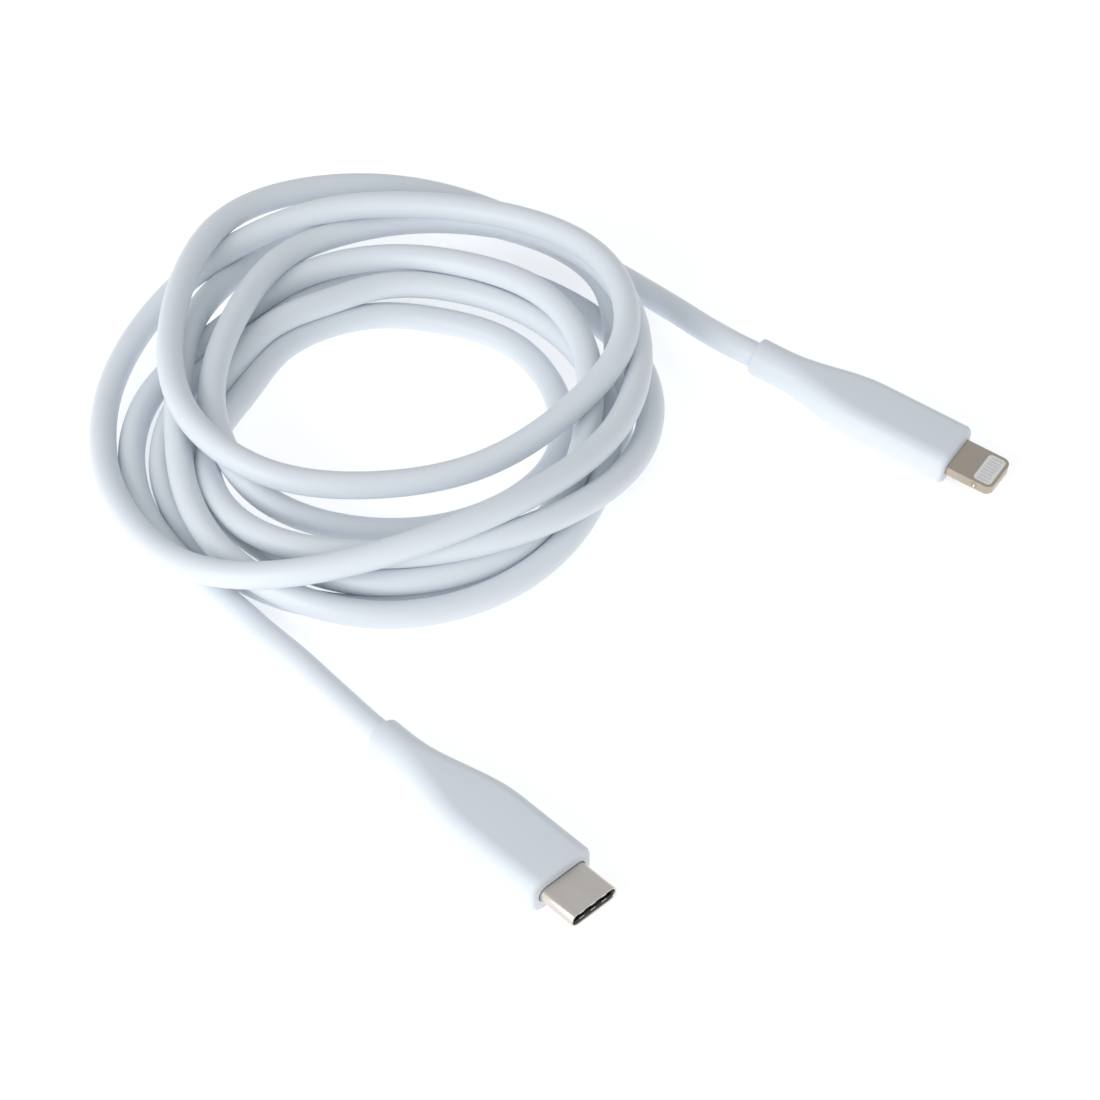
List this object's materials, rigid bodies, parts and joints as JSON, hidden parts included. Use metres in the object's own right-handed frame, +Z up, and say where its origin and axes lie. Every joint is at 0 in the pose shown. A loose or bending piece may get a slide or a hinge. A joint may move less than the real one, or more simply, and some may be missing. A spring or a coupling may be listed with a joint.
{
  "type": "charging cable",
  "caption": "Long round white cord in a loose coil, with a reversible oval plug at one end and a flat tab plug at the other, for charging a phone or tablet.",
  "frame": {"origin": "on the surface that the cable lies on, in the middle of the box around the two plugs, without the cord between them", "axes": "+Z up from that surface, +Y towards the far side of the coil along the longer side of the box around the two plugs, +X towards the tab plug"},
  "size_m": [0.1378, 0.1459, 0.014],
  "materials": {
    "overmould_white": "satin",
    "cord_white": "satin",
    "nose_metal": "satin",
    "insulator_black": "matte",
    "contact_gold": "polished",
    "spring_steel": "satin",
    "tab_metal": "satin",
    "carrier_white": "satin",
    "contact_silver": "polished",
    "board_green": "gloss",
    "chip_black": "matte",
    "passive_tan": "matte",
    "can_steel": "satin",
    "inner_mould_ivory": "matte",
    "crimp_metal": "satin",
    "wire_insulation": "satin"
  },
  "bodies": {
    "root": {"oval_overmould": "overmould_white", "oval_nose": "nose_metal", "oval_insulator": "insulator_black", "oval_contacts_upper": "contact_gold", "oval_contacts_lower": "contact_gold", "oval_latch": "spring_steel", "oval_ground_fingers": "spring_steel", "oval_board": "board_green", "oval_chip": "chip_black", "oval_passives": "passive_tan", "oval_can": "can_steel", "oval_inner_mould": "inner_mould_ivory", "oval_crimp": "crimp_metal", "oval_wires": "wire_insulation", "oval_jacket_end": "cord_white", "tab_overmould": "overmould_white", "tab_frame": "tab_metal", "tab_carrier": "carrier_white", "tab_contacts_upper": "contact_silver", "tab_contacts_lower": "contact_silver", "tab_board": "board_green", "tab_chip": "chip_black", "tab_passives": "passive_tan", "tab_can": "can_steel", "tab_inner_mould": "inner_mould_ivory", "tab_crimp": "crimp_metal", "tab_wires": "wire_insulation", "tab_jacket_end": "cord_white", "cord_coil": "cord_white", "cord_lead_oval": "cord_white", "cord_lead_tab": "cord_white"}
  },
  "joints": []
}
